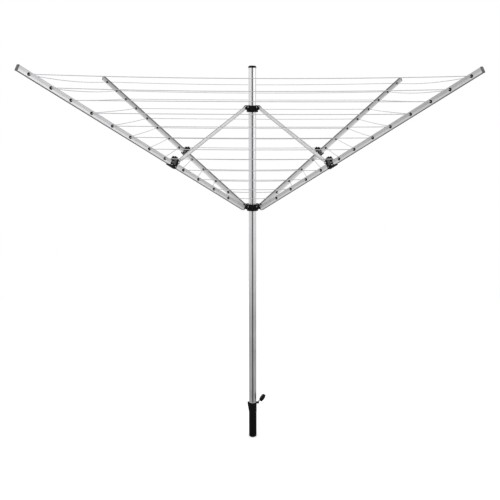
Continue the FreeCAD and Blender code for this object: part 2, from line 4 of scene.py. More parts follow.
import bmesh
import bpy
from mathutils import Matrix, Vector


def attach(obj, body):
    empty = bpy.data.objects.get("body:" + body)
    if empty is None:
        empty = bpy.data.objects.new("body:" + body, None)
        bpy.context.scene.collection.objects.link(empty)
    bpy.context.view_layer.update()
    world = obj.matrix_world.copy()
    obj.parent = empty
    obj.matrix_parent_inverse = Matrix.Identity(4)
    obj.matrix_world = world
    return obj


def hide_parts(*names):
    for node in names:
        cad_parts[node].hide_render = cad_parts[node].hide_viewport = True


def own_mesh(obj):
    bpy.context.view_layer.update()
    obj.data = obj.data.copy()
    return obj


# Rotary clothesline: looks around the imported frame. Metres, +Z up, arms at 45 degrees.
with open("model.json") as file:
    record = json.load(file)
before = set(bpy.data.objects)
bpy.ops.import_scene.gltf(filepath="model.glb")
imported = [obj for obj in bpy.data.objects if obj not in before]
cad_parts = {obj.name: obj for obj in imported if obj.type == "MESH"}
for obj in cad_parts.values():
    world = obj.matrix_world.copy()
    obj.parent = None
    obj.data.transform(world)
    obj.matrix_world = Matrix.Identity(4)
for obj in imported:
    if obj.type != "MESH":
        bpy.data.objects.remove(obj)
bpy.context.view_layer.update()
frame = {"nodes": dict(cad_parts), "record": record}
record = frame["record"]
nodes = frame["nodes"]
joint_place = {joint["name"]: Vector(joint["pos_m"])
               for joint in record["behaviour"]["joints"] if "pos_m" in joint}

# ---------------------------------------------------------------- sizes from the frame
ARMS = (1, 2, 3, 4)
LOW_PIVOT = joint_place["lower_hub_fold"]
HIGH_PIVOT = joint_place["strut_fold_1"]
COLLAR_PIVOT = joint_place["arm_fold_1"]
PIVOT_OUT = LOW_PIVOT.xy.length
STRUT_SLOPE = math.atan2(HIGH_PIVOT.z - COLLAR_PIVOT.z, COLLAR_PIVOT.xy.length - PIVOT_OUT)
STRUT_LENGTH = (HIGH_PIVOT - COLLAR_PIVOT).length
LINK_RISE = 0.003
ARM_SLOPE = STRUT_SLOPE - math.asin(LINK_RISE / STRUT_LENGTH)
COLLAR_AT = STRUT_LENGTH * math.cos(STRUT_SLOPE - ARM_SLOPE)

ARM_DROP = 0.017
ARM_WIDTH = 0.015
ARM_HEIGHT = 0.027
ARM_TOP = ARM_HEIGHT / 2 - ARM_DROP
ARM_BASE = -ARM_HEIGHT / 2 - ARM_DROP
MAST_RADIUS = 0.021

EYELETS_ALONG = (0.155, 0.272, 0.393, 0.5055, 0.638, 0.744, 0.868, 0.9815, 1.1055, 1.224,
                 1.3325, 1.4475)
EYELET_LEVEL = -ARM_DROP
EYELET_LIP = 0.002
EYELET_RIM = 0.0076
EYELET_BORE = 0.0023
EYELET_HALF = ARM_WIDTH / 2 + EYELET_LIP
LINE_RADIUS = 0.00165
LINE_BEND = 0.008
# the two outer rings hang slacker than the rest
TIGHT_SAG = 0.003
SLACK_SAGS = {11: 0.0135, 10: 0.0115}

# ---------------------------------------------------------------- sizes of small fittings
COLLAR_HALF = ARM_WIDTH / 2 + 0.0035
PANEL_SIZE = (0.015, 0.0016, 0.030)
PANEL_EDGE = 0.0007
PANEL_ALONG = 0.022
PANEL_BELOW_TOP = 0.001
PANEL_TILT = math.radians(8)
# from the collar's pivot along the arm, and up from the arm's underside
SCREWS = ((0.006, 0.006), (0.034, 0.006), (0.034, 0.020))
LEVER_OUT = 0.038
LEVER_EYE = 0.0055
RIDGES = 6
RIDGE_START = 0.012
RIDGE_PITCH = 0.0032
RIDGE_HALF = 0.0052
RIDGE_RADIUS = 0.0008
LID_HINGE = Vector((0.033, 0, 0.2136))
LID_OPEN = math.radians(126)
SLEEVE_SIZE = (0.0066, 0.0097, 0.0050)
SLEEVE_EDGE = 0.0008
SLEEVE_PLACE = (-0.0071, 0, 0.0007)
KNOT_SCALE = 0.00125
KNOT_THICKNESS = 0.0013
KNOT_GAP = 0.0022
KNOT_STEPS = 48

# ---------------------------------------------------------------- tones, camera and light
# painted shade on the arms: how dark the upper strip and the top and bottom edges are painted;
# the end tone darkens each arm towards its tip
UPPER_STRIP_PAINTED_SHADE = 0.76
ARM_EDGE_PAINTED_SHADE = 0.55
ARM_END_TONE = 0.72
# painted shade on the floor of the mast's four grooves
GROOVE_PAINTED_SHADE = 0.22
CAMERA_LENS = 57.83
CAMERA_SHIFT = (-0.0477, 0.0177)
CAMERA_PLACE = (0.0145, -4.4049, 1.9493)
# degrees: turned about the upright, tipped down, and rolled about the view
CAMERA_TURN = -1.361
CAMERA_TIP = 11.433
CAMERA_ROLL = 0.22
# name, place, target, width, height, power
AREA_LIGHTS = (("key", (-3.0, -3.5, 4.2), (0, 0, 1.4), 2.5, 2.5, 60),
               ("fill", (3.8, -2.5, 2.6), (0, 0, 1.2), 2.0, 3.0, 25))
FLOOR_RADIUS = 4.0


def azimuth(number):
    return math.radians(45 + 90 * (number - 1))


def arm_matrix(number):
    """Places a piece drawn from the arm's pivot, with X along the arm and Z above it."""
    turn = Matrix.Rotation(azimuth(number), 4, "Z")
    out = Matrix.Translation((PIVOT_OUT, 0, LOW_PIVOT.z))
    return turn @ out @ Matrix.Rotation(-ARM_SLOPE, 4, "Y")


def strut_matrix(number):
    """Places a piece drawn from the strut's upper pivot, with X down along the strut."""
    turn = Matrix.Rotation(azimuth(number), 4, "Z")
    out = Matrix.Translation((PIVOT_OUT, 0, HIGH_PIVOT.z))
    return turn @ out @ Matrix.Rotation(STRUT_SLOPE, 4, "Y")


# ---------------------------------------------------------------- node tree helpers
def socket_of(sockets, name):
    return next(item for item in sockets if item.name == name and item.enabled)


class Tree:
    """Short names for building a node tree."""

    def __init__(self, tree):
        self.tree = tree

    def add(self, kind, settings=None, **inputs):
        node = self.tree.nodes.new(kind)
        for key, item in (settings or {}).items():
            setattr(node, key, item)
        for key, item in inputs.items():
            self.feed(node, key.replace("_", " "), item)
        return node

    def feed(self, node, name, item):
        socket = name if not isinstance(name, str) else socket_of(node.inputs, name)
        if isinstance(item, bpy.types.NodeSocket):
            self.tree.links.new(item, socket)
        else:
            socket.default_value = item

    def math(self, operation, first, second=0.0):
        node = self.tree.nodes.new("ShaderNodeMath")
        node.operation = operation
        self.feed(node, node.inputs[0], first)
        self.feed(node, node.inputs[1], second)
        return node.outputs[0]

    def ramp(self, value, low, high, start, end):
        """Maps value from low..high to start..end, and holds it outside."""
        node = self.add("ShaderNodeMapRange", None, Value=value)
        for name, item in zip(("From Min", "From Max", "To Min", "To Max"),
                              (low, high, start, end)):
            self.feed(node, name, item)
        return node.outputs["Result"]

    def blend(self, factor, first, second, blend_type="MIX"):
        node = self.tree.nodes.new("ShaderNodeMix")
        node.data_type = "RGBA"
        node.blend_type = blend_type
        for name, item in (("Factor", factor), ("A", first), ("B", second)):
            wanted = [s for s in node.inputs if s.name == name and s.enabled][0]
            self.feed(node, wanted, item)
        return [s for s in node.outputs if s.enabled][0]

    def noise(self, vector, scale, detail=2.0, roughness=0.5):
        node = self.add("ShaderNodeTexNoise", None, Vector=vector, Scale=scale,
                        Detail=detail, Roughness=roughness)
        return node.outputs["Fac"]


def shader_group(name, inputs, outputs):
    """A shader node group with named inputs (kind, default) and outputs."""
    tree = bpy.data.node_groups.new(name, "ShaderNodeTree")
    for label, (kind, default) in inputs.items():
        made = tree.interface.new_socket(label, in_out="INPUT", socket_type=kind)
        if default is not None:
            made.default_value = default
    for label, kind in outputs.items():
        tree.interface.new_socket(label, in_out="OUTPUT", socket_type=kind)
    maker = Tree(tree)
    return maker, maker.add("NodeGroupInput"), maker.add("NodeGroupOutput")


FLOAT = "NodeSocketFloat"
COLOR = "NodeSocketColor"
VECTOR = "NodeSocketVector"


def drawn_finish_group():
    """Fine lines along X left by the extrusion die, with cloudy anodising and handling marks."""
    make, given, out = shader_group(
        "drawn_finish",
        {"Vector": (VECTOR, None), "Base": (COLOR, (0.7, 0.7, 0.7, 1)),
         "Roughness": (FLOAT, 0.35), "Streaks": (FLOAT, 0.5), "Clouds": (FLOAT, 0.5)},
        {"Color": COLOR, "Roughness": FLOAT, "Height": FLOAT})
    stretched = make.add("ShaderNodeMapping", {"vector_type": "POINT"},
                         Vector=given.outputs["Vector"], Scale=(1.2, 900.0, 900.0))
    lines = make.noise(stretched.outputs[0], 1.0, 3.0, 0.6)
    broad = make.add("ShaderNodeMapping", {"vector_type": "POINT"},
                     Vector=given.outputs["Vector"], Scale=(3.0, 160.0, 160.0))
    bands = make.noise(broad.outputs[0], 1.0, 2.0)
    clouds = make.noise(given.outputs["Vector"], 9.0, 4.0, 0.6)
    specks = make.noise(given.outputs["Vector"], 420.0, 1.0)
    line_tone = make.ramp(lines, 0.3, 0.7, 0.97, 1.02)
    band_tone = make.ramp(bands, 0.3, 0.7, 0.96, 1.03)
    tone = make.math("MULTIPLY", line_tone, band_tone)
    strength = given.outputs["Streaks"]
    tone = make.math("ADD", make.math("MULTIPLY", make.math("SUBTRACT", tone, 1.0), strength),
                     1.0)
    cloud_tone = make.ramp(clouds, 0.35, 0.65, 0.95, 1.03)
    cloud_tone = make.math("ADD", make.math("MULTIPLY", make.math("SUBTRACT", cloud_tone, 1.0),
                                            given.outputs["Clouds"]), 1.0)
    tone = make.math("MULTIPLY", tone, cloud_tone)
    shade = make.add("ShaderNodeCombineColor", None, Red=tone, Green=tone, Blue=tone)
    color = make.blend(1.0, given.outputs["Base"], shade.outputs[0], "MULTIPLY")
    make.feed(out, "Color", color)
    rough = make.math("ADD", given.outputs["Roughness"], make.ramp(clouds, 0.3, 0.7, -0.05, 0.06))
    rough = make.math("ADD", rough, make.ramp(lines, 0.3, 0.7, -0.02, 0.03))
    make.feed(out, "Roughness", make.math("ADD", rough, make.ramp(specks, 0.6, 0.8, 0.0, 0.05)))
    make.feed(out, "Height", make.math("ADD", lines, make.math("MULTIPLY", bands, 0.8)))
    return make.tree


def moulded_finish_group():
    """Fine spark-eroded grain of moulded plastic, with faint dust on what faces up."""
    make, given, out = shader_group(
        "moulded_finish",
        {"Vector": (VECTOR, None), "Base": (COLOR, (0.02, 0.02, 0.02, 1)),
         "Roughness": (FLOAT, 0.45), "Dust": (FLOAT, 0.3)},
        {"Color": COLOR, "Roughness": FLOAT, "Height": FLOAT})
    vector = given.outputs["Vector"]
    grain = make.noise(vector, 2600.0, 2.0, 0.6)
    flow = make.noise(vector, 38.0, 3.0, 0.55)
    scuffs = make.noise(vector, 160.0, 5.0, 0.75)
    normal = make.add("ShaderNodeNewGeometry")
    split = make.add("ShaderNodeSeparateXYZ", None, Vector=normal.outputs["Normal"])
    upward = make.ramp(split.outputs["Z"], 0.2, 1.0, 0.0, 1.0)
    settle = make.math("MULTIPLY", upward, make.ramp(flow, 0.35, 0.7, 0.2, 1.0))
    settle = make.math("MULTIPLY", settle, given.outputs["Dust"])
    tone = make.ramp(flow, 0.3, 0.7, 0.85, 1.18)
    shade = make.add("ShaderNodeCombineColor", None, Red=tone, Green=tone, Blue=tone)
    base = make.blend(1.0, given.outputs["Base"], shade.outputs[0], "MULTIPLY")
    dusty = make.blend(make.math("MULTIPLY", settle, 0.35), base, (0.34, 0.33, 0.31, 1))
    worn = make.blend(make.ramp(scuffs, 0.66, 0.78, 0.0, 0.05), dusty, (0.2, 0.2, 0.2, 1))
    make.feed(out, "Color", worn)
    rough = make.math("ADD", given.outputs["Roughness"], make.ramp(flow, 0.3, 0.7, -0.05, 0.06))
    rough = make.math("ADD", rough, make.math("MULTIPLY", settle, 0.3))
    make.feed(out, "Roughness", rough)
    make.feed(out, "Height", make.math("ADD", grain, make.math("MULTIPLY", scuffs, 0.6)))
    return make.tree


def finish_with(material_name, group, metallic, settings, bump, distance, coordinates=None,
                specular=0.5, bands=None):
    """A material whose colour, roughness and bump come from one of the finish groups."""
    material = bpy.data.materials.new(material_name)
    material.use_nodes = True
    make = Tree(material.node_tree)
    shader = material.node_tree.nodes["Principled BSDF"]
    place = make.add("ShaderNodeTexCoord").outputs["Object"]
    if coordinates is not None:
        turned = make.add("ShaderNodeMapping", {"vector_type": "TEXTURE"}, Vector=place,
                          Location=coordinates.translation, Rotation=coordinates.to_euler())
        place = turned.outputs[0]
    finish = make.add("ShaderNodeGroup", {"node_tree": group})
    make.feed(finish, "Vector", place)
    for name, item in settings.items():
        make.feed(finish, name, item)
    relief = make.add("ShaderNodeBump", None, Strength=bump, Distance=distance,
                      Height=finish.outputs["Height"])
    color = finish.outputs["Color"]
    make.feed(shader, "Base Color", bands(make, place, color) if bands else color)
    make.feed(shader, "Roughness", finish.outputs["Roughness"])
    make.feed(shader, "Normal", relief.outputs["Normal"])
    make.feed(shader, "Metallic", metallic)
    make.feed(shader, "Specular IOR Level", specular)
    return material


DRAWN = drawn_finish_group()
MOULDED = moulded_finish_group()


def grey(level):
    return (level, level, level * 1.02, 1)


def extruded_aluminium(name, level, roughness, place, bands=None):
    return finish_with(name, DRAWN, 1.0,
                       {"Base": grey(level), "Roughness": roughness, "Streaks": 1.0,
                        "Clouds": 1.0}, bump=0.02, distance=0.0003, coordinates=place,
                       bands=bands)


def moulded_plastic(name, level, roughness, dust, specular):
    return finish_with(name, MOULDED, 0.0,
                       {"Base": grey(level), "Roughness": roughness, "Dust": dust},
                       bump=0.25, distance=0.00015, specular=specular)


def toned(make, color, tone):
    """The colour darkened by a tone that changes over the surface."""
    shade = make.add("ShaderNodeCombineColor", None, Red=tone, Green=tone, Blue=tone)
    return make.blend(1.0, color, shade.outputs[0], "MULTIPLY")


def arm_painted_shade_bands(make, place, color):
    """Painted shade on the arm's faces: a duller upper strip beside a bright lower one, and dark
    top and bottom edges; the arm is also darker towards its tip.
    """
    height = make.math("ADD", make.add("ShaderNodeSeparateXYZ", None, Vector=place).outputs["Z"],
                       ARM_DROP)
    strip_shade = make.ramp(height, -0.004, -0.001, 1.0, UPPER_STRIP_PAINTED_SHADE)
    edge_shade = make.ramp(make.math("ABSOLUTE", height), ARM_HEIGHT / 2 - 0.0016,
                    ARM_HEIGHT / 2 - 0.0004, 1.0, ARM_EDGE_PAINTED_SHADE)
    outward = make.ramp(make.add("ShaderNodeSeparateXYZ", None, Vector=place).outputs["X"],
                        0.4, 1.5, 1.0, ARM_END_TONE)
    return toned(make, color, make.math("MULTIPLY", make.math("MULTIPLY", strip_shade, edge_shade), outward))


def mast_groove_painted_shade(make, place, color):
    """Painted shade darkening the floor of the four grooves."""
    split = make.add("ShaderNodeSeparateXYZ", None, Vector=place)
    across = make.math("POWER", split.outputs["Y"], 2.0)
    radius = make.math("SQRT", make.math("ADD", across,
                                         make.math("POWER", split.outputs["Z"], 2.0)))
    groove_shade = make.ramp(radius, MAST_RADIUS - 0.0024, MAST_RADIUS - 0.0003, GROOVE_PAINTED_SHADE, 1.0)
    return toned(make, color, groove_shade)


# the mast's colour carries painted shade in its grooves
mast_metal = extruded_aluminium("anodised_mast", 0.75, 0.30,
                                Matrix.Rotation(-math.pi / 2, 4, "Y"), bands=mast_groove_painted_shade)
# the arms' colour carries painted shade on the upper strip and on the top and bottom edges
arm_metal = {k: extruded_aluminium(f"anodised_arm_{k}", 0.76, 0.36, arm_matrix(k),
                                   bands=arm_painted_shade_bands) for k in ARMS}
strut_metal = {k: extruded_aluminium(f"anodised_strut_{k}", 0.73, 0.33, strut_matrix(k))
               for k in ARMS}
black_plastic = moulded_plastic("black_moulding", 0.004, 0.42, 0.12, specular=0.1)
socket_plastic = moulded_plastic("socket_moulding", 0.004, 0.48, 0.12, specular=0.1)
eyelet_plastic = moulded_plastic("eyelet_moulding", 0.002, 0.5, 0.0, specular=0.05)
grey_plastic = moulded_plastic("grey_moulding", 0.62, 0.45, 0.2, specular=0.5)
panel_plastic = moulded_plastic("panel_moulding", 0.07, 0.5, 0.3, specular=0.3)
cap_plastic = moulded_plastic("cap_moulding", 0.11, 0.5, 0.4, specular=0.4)
plated_steel = finish_with("zinc_plated_steel", DRAWN, 1.0,
                           {"Base": grey(0.6), "Roughness": 0.32, "Streaks": 0.4,
                            "Clouds": 2.0}, bump=0.08, distance=0.0002)


def vinyl_line_material():
    """Smooth vinyl coat over twisted strands that show through as a faint relief."""
    material = bpy.data.materials.new("vinyl_line")
    material.use_nodes = True
    make = Tree(material.node_tree)
    shader = material.node_tree.nodes["Principled BSDF"]
    place = make.add("ShaderNodeTexCoord").outputs["Object"]
    soil = make.noise(place, 14.0, 3.0)
    strands = make.noise(place, 700.0, 1.0)
    tint = make.blend(make.ramp(soil, 0.35, 0.7, 0.0, 1.0), (0.52, 0.53, 0.55, 1),
                      (0.60, 0.61, 0.62, 1))
    make.feed(shader, "Base Color", tint)
    make.feed(shader, "Roughness", make.ramp(soil, 0.3, 0.7, 0.32, 0.45))
    relief = make.add("ShaderNodeBump", None, Strength=0.2, Distance=0.0002, Height=strands)
    make.feed(shader, "Normal", relief.outputs["Normal"])
    return material


line_vinyl = vinyl_line_material()


# ---------------------------------------------------------------- mesh helpers
def new_piece(name, mesh, material, body, replaced=()):
    """Makes a finished piece of the object from a mesh, riding on a body."""
    piece = bpy.data.objects.new(name, mesh)
    bpy.context.scene.collection.objects.link(piece)
    mesh.materials.clear()
    mesh.materials.append(material)
    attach(piece, body)
    if replaced:
        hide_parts(*replaced)
    return piece


def smooth(mesh, degrees=35):
    for polygon in mesh.polygons:
        polygon.use_smooth = True
    mesh.set_sharp_from_angle(angle=math.radians(degrees))
    return mesh


def baked(piece):
    """The piece's mesh with its modifiers applied, as a plain mesh."""
    graph = bpy.context.evaluated_depsgraph_get()
    mesh = bpy.data.meshes.new_from_object(piece.evaluated_get(graph))
    bpy.data.objects.remove(piece)
    return mesh


def softened(node_name, width, segments=3, angle=38):
    """A copy of a node's mesh with its hard edges rounded over."""
    copy = nodes[node_name].data.copy()
    work = bmesh.new()
    work.from_mesh(copy)
    bmesh.ops.remove_doubles(work, verts=work.verts, dist=1e-6)
    bmesh.ops.dissolve_limit(work, angle_limit=math.radians(1.0), verts=work.verts,
                             edges=work.edges)
    work.to_mesh(copy)
    work.free()
    piece = bpy.data.objects.new(f"{node_name}_work", copy)
    bpy.context.scene.collection.objects.link(piece)
    bevel = piece.modifiers.new("rounding", "BEVEL")
    bevel.width = width
    bevel.segments = segments
    bevel.limit_method = "ANGLE"
    bevel.angle_limit = math.radians(angle)
    bevel.miter_outer = "MITER_ARC"
    return smooth(baked(piece), 40)


def lathe_mesh(name, profile, steps=32, axis="Z"):
    """Turns a closed profile of (radius, height) corners about an axis."""
    work = bmesh.new()
    rings = []
    for step in range(steps):
        angle = math.tau * step / steps
        ring = []
        for radius, height in profile:
            x, y = radius * math.cos(angle), radius * math.sin(angle)
            place = {"Z": (x, y, height), "Y": (x, height, -y), "X": (height, x, y)}[axis]
            ring.append(work.verts.new(place))
        rings.append(ring)
    count = len(profile)
    for step in range(steps):
        here, there = rings[step], rings[(step + 1) % steps]
        for i in range(count):
            j = (i + 1) % count
            work.faces.new((here[i], here[j], there[j], there[i]))
    bmesh.ops.remove_doubles(work, verts=work.verts, dist=1e-7)
    bmesh.ops.recalc_face_normals(work, faces=work.faces)
    mesh = bpy.data.meshes.new(name)
    work.to_mesh(mesh)
    work.free()
    return smooth(mesh, 45)


def tube_mesh(name, paths, radius, sides=8, closed_ends=True):
    """Round bars of one radius along lists of points, in one mesh."""
    work = bmesh.new()
    for points in paths:
        rings = []
        side = Vector((0, 0, 1))
        for i, point in enumerate(points):
            before = points[max(i - 1, 0)]
            after = points[min(i + 1, len(points) - 1)]
            along = (after - before).normalized()
            if abs(along.dot(side)) > 0.95:
                side = Vector((1, 0, 0))
            across = along.cross(side).normalized()
            up = across.cross(along)
            side = up
            rings.append([work.verts.new(point + radius * (math.cos(t) * across
                                                           + math.sin(t) * up))
                          for t in (math.tau * s / sides for s in range(sides))])
        for here, there in zip(rings, rings[1:]):
            for s in range(sides):
                t = (s + 1) % sides
                work.faces.new((here[s], here[t], there[t], there[s]))
        if closed_ends:
            work.faces.new(rings[0][::-1])
            work.faces.new(rings[-1])
    bmesh.ops.recalc_face_normals(work, faces=work.faces)
    mesh = bpy.data.meshes.new(name)
    work.to_mesh(mesh)
    work.free()
    return smooth(mesh, 60)


def joined(name, meshes):
    """One mesh from several (mesh, matrix) pairs."""
    work = bmesh.new()
    for mesh, matrix in meshes:
        part = mesh.copy()
        part.transform(matrix)
        if matrix.determinant() < 0:
            part.flip_normals()
        work.from_mesh(part)
        bpy.data.meshes.remove(part)
    mesh = bpy.data.meshes.new(name)
    work.to_mesh(mesh)
    work.free()
    return mesh


def rounded_block(name, size, edge, segments=3):
    """A box with rounded edges, centred at the origin."""
    work = bmesh.new()
    bmesh.ops.create_cube(work, size=1.0)
    bmesh.ops.scale(work, vec=size, verts=work.verts)
    bmesh.ops.bevel(work, geom=work.edges[:], offset=edge, segments=segments, profile=0.5,
                    affect="EDGES", clamp_overlap=True)
    mesh = bpy.data.meshes.new(name)
    work.to_mesh(mesh)
    work.free()
    return smooth(mesh, 50)


# ---------------------------------------------------------------- repeated pieces
def repeat_tree():
    """Geometry nodes: one shape set at every point, turned as the point's attribute says."""
    tree = bpy.data.node_groups.new("repeat_on_points", "GeometryNodeTree")
    tree.interface.new_socket("Geometry", in_out="INPUT", socket_type="NodeSocketGeometry")
    tree.interface.new_socket("Shape", in_out="INPUT", socket_type="NodeSocketObject")
    tree.interface.new_socket("Finish", in_out="INPUT", socket_type="NodeSocketMaterial")
    tree.interface.new_socket("Geometry", in_out="OUTPUT", socket_type="NodeSocketGeometry")
    make = Tree(tree)
    given = make.add("NodeGroupInput")
    out = make.add("NodeGroupOutput")
    shape = make.add("GeometryNodeObjectInfo", None, Object=given.outputs["Shape"])
    turn = make.add("GeometryNodeInputNamedAttribute", {"data_type": "FLOAT_VECTOR"},
                    Name="turn")
    angles = make.add("FunctionNodeEulerToRotation")
    tree.links.new(socket_of(turn.outputs, "Attribute"), angles.inputs[0])
    spots = make.add("GeometryNodeInstanceOnPoints", None, Points=given.outputs["Geometry"],
                     Instance=shape.outputs["Geometry"])
    tree.links.new(angles.outputs[0], spots.inputs["Rotation"])
    real = make.add("GeometryNodeRealizeInstances", None, Geometry=spots.outputs[0])
    painted = make.add("GeometryNodeSetMaterial", None, Geometry=real.outputs[0],
                       Material=given.outputs["Finish"])
    tree.links.new(painted.outputs[0], out.inputs[0])
    return tree


REPEAT = repeat_tree()


def repeated(name, shape_mesh, places, material):
    """A mesh with the shape at each place, a 4x4 matrix without scale."""
    points = bpy.data.meshes.new(f"{name}_points")
    points.from_pydata([place.translation for place in places], [], [])
    turn = points.attributes.new("turn", "FLOAT_VECTOR", "POINT")
    for i, place in enumerate(places):
        turn.data[i].vector = place.to_euler("XYZ")
    shape = bpy.data.objects.new(f"{name}_shape", shape_mesh)
    holder = bpy.data.objects.new(f"{name}_holder", points)
    for item in (shape, holder):
        bpy.context.scene.collection.objects.link(item)
    layer = holder.modifiers.new("repeat", "NODES")
    layer.node_group = REPEAT
    sockets = {item.name: item.identifier for item in REPEAT.interface.items_tree
               if item.in_out == "INPUT"}
    layer[sockets["Shape"]] = shape
    layer[sockets["Finish"]] = material
    mesh = baked(holder)
    bpy.data.objects.remove(shape)
    return mesh


# ---------------------------------------------------------------- camera and light
def build_camera():
    """Stands straight in front of the clothesline, a little above head height."""
    camera_data = bpy.data.cameras.new("camera")
    camera_data.sensor_width = 36.0
    camera_data.lens = CAMERA_LENS
    camera_data.shift_x, camera_data.shift_y = CAMERA_SHIFT
    camera_data.clip_end = 100
    camera = bpy.data.objects.new("camera", camera_data)
    camera.location = CAMERA_PLACE
    aim = Matrix.Rotation(math.radians(CAMERA_TURN), 3, "Z")
    aim = aim @ Matrix.Rotation(math.radians(90 - CAMERA_TIP), 3, "X")
    aim = aim @ Matrix.Rotation(math.radians(CAMERA_ROLL), 3, "Z")
    camera.rotation_euler = aim.to_euler()
    bpy.context.scene.collection.objects.link(camera)
    bpy.context.scene.camera = camera


def area_light(name, place, target, width, height, power):
    data = bpy.data.lights.new(name, "AREA")
    data.shape = "RECTANGLE"
    data.size = width
    data.size_y = height
    data.energy = power
    light = bpy.data.objects.new(name, data)
    light.location = place
    light.rotation_euler = (Vector(target) - Vector(place)).to_track_quat("-Z", "Y").to_euler()
    bpy.context.scene.collection.objects.link(light)


def build_light():
    """A white room: bright above, dimmer towards the ground."""
    world = bpy.data.worlds.new("studio")
    bpy.context.scene.world = world
    world.use_nodes = True
    make = Tree(world.node_tree)
    backdrop = world.node_tree.nodes["Background"]
    where = make.add("ShaderNodeTexCoord").outputs["Generated"]
    height = make.add("ShaderNodeSeparateXYZ", None, Vector=where).outputs["Z"]
    below = make.ramp(height, -0.30, -0.12, 0.45, 1.0)
    above = make.ramp(height, 0.30, 0.60, 1.0, 0.55)
    level = make.math("MULTIPLY", below, above)
    seen = make.add("ShaderNodeLightPath").outputs["Is Camera Ray"]
    shade = make.add("ShaderNodeCombineColor", None, Red=level, Green=level, Blue=level)
    make.feed(backdrop, "Color", make.blend(seen, shade.outputs[0], (1, 1, 1, 1)))
    for values in AREA_LIGHTS:
        area_light(*values)
    bpy.context.scene.view_settings.view_transform = "Standard"


def build_floor():
    work = bmesh.new()
    bmesh.ops.create_circle(work, cap_ends=True, radius=FLOOR_RADIUS, segments=96)
    mesh = bpy.data.meshes.new("floor")
    work.to_mesh(mesh)
    work.free()
    floor = bpy.data.objects.new("floor", mesh)
    bpy.context.scene.collection.objects.link(floor)
    material = bpy.data.materials.new("pale_floor")
    material.use_nodes = True
    make = Tree(material.node_tree)
    shader = material.node_tree.nodes["Principled BSDF"]
    seen = make.add("ShaderNodeLightPath").outputs["Is Camera Ray"]
    make.feed(shader, "Base Color", make.blend(seen, (0.45, 0.45, 0.45, 1), (0.9, 0.9, 0.9, 1)))
    make.feed(shader, "Roughness", 0.9)
    make.feed(shader, "Emission Color", (1, 1, 1, 1))
    make.feed(shader, "Emission Strength", make.math("MULTIPLY", seen, 0.45))
    mesh.materials.append(material)


def eyelet_centre(number, along):
    return arm_matrix(number) @ Vector((along, 0, EYELET_LEVEL))


def half_line_points(number, side, along, sag):
    """From the bend beside the eyelet to the middle of the ring's side."""
    turn = Matrix.Rotation(azimuth(number), 4, "Z")
    home = turn.inverted() @ eyelet_centre(number, along)
    tangent = LINE_BEND * math.tan(math.radians(22.5))
    corner = EYELET_HALF + tangent
    inset = tangent * math.sqrt(0.5)
    start = Vector((home.x - inset, side * (corner + inset), home.z))
    middle = (home.x + corner) / 2
    end = Vector((middle, side * middle, home.z))
    points = []
    steps = 10
    for i in range(steps + 1):
        share = i / steps / 2
        drop = 4 * sag * share * (1 - share)
        point = start.lerp(end, i / steps) - Vector((0, 0, drop))
        points.append(turn @ point)
    return points


def line_bend(number, side, along):
    """The line's arc from inside the eyelet to where the straight stretch starts."""
    turn = Matrix.Rotation(azimuth(number), 4, "Z")
    home = turn.inverted() @ eyelet_centre(number, along)
    points = [turn @ Vector((home.x, side * EYELET_HALF * 0.4, home.z))]
    for step in range(6):
        angle = math.radians(45 * step / 5)
        x = home.x - LINE_BEND * (1 - math.cos(angle))
        y = EYELET_HALF + LINE_BEND * math.sin(angle)
        points.append(turn @ Vector((x, side * y, home.z)))
    return points


def build_lines():
    for number in ARMS:
        cores = []
        body = f"arm_{number}"
        for i, along in enumerate(EYELETS_ALONG):
            sag = SLACK_SAGS.get(i, TIGHT_SAG)
            bends = []
            for side in (1, -1):
                points = half_line_points(number, side, along, sag)
                mesh = tube_mesh(f"line_{number}_{i}", [points], LINE_RADIUS)
                word = "left" if side > 0 else "right"
                piece = new_piece(f"line_{number}_{word}_{i + 1}", mesh, line_vinyl, body)
                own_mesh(piece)
                bends.append(line_bend(number, side, along))
            cores.append(bends[0][::-1] + bends[1])
        mesh = tube_mesh(f"line_core_{number}", cores, LINE_RADIUS)
        new_piece(f"line_through_arm_{number}", mesh, line_vinyl, body,
                  (f"lines_{number}",))


# ---------------------------------------------------------------- eyelets
def eyelet_mesh():
    """A rounded flange on each side of a barrel with a flared bore, about Y."""
    half = EYELET_HALF
    face = ARM_WIDTH / 2
    side = []
    for step in range(5):
        angle = math.radians(90 * step / 4)
        side.append((EYELET_RIM - 0.0014 + 0.0014 * math.cos(angle),
                     half - 0.0014 + 0.0014 * math.sin(angle)))
    for step in range(5):
        angle = math.radians(90 * step / 4)
        side.append((EYELET_BORE + 0.0013 - 0.0013 * math.sin(angle),
                     half - 0.0013 + 0.0013 * math.cos(angle)))
    right = [(EYELET_RIM, face)] + side
    left = [(radius, -height) for radius, height in right[::-1]]
    barrel = [(0.0046, -face), (0.0046, face)]
    return lathe_mesh("eyelet", right + left + barrel, 24, "Y")


def build_eyelets():
    shape = eyelet_mesh()
    for number in ARMS:
        arm = arm_matrix(number)
        places = [arm @ Matrix.Translation((along, 0, EYELET_LEVEL))
                  for along in EYELETS_ALONG]
        mesh = repeated(f"eyelets_{number}", shape, places, eyelet_plastic)
        new_piece(f"eyelet_row_{number}", smooth(mesh, 45), eyelet_plastic, f"arm_{number}",
                  (f"line_eyelets_{number}",))


# ---------------------------------------------------------------- metal parts
def paint(node_name, material):
    mesh = nodes[node_name].data
    mesh.materials.clear()
    mesh.materials.append(material)
    for polygon in mesh.polygons:
        polygon.material_index = 0


def build_metal():
    paint("mast", mast_metal)
    for number in ARMS:
        paint(f"arm_{number}", arm_metal[number])
        paint(f"strut_{number}", strut_metal[number])
        paint(f"collar_pin_{number}", plated_steel)
    for name in ("lid_hinge_pin", "upper_hub_pins", "lower_hub_pins", "upper_hub_lever_pin",
                 "lower_hub_lever_pin"):
        paint(name, plated_steel)


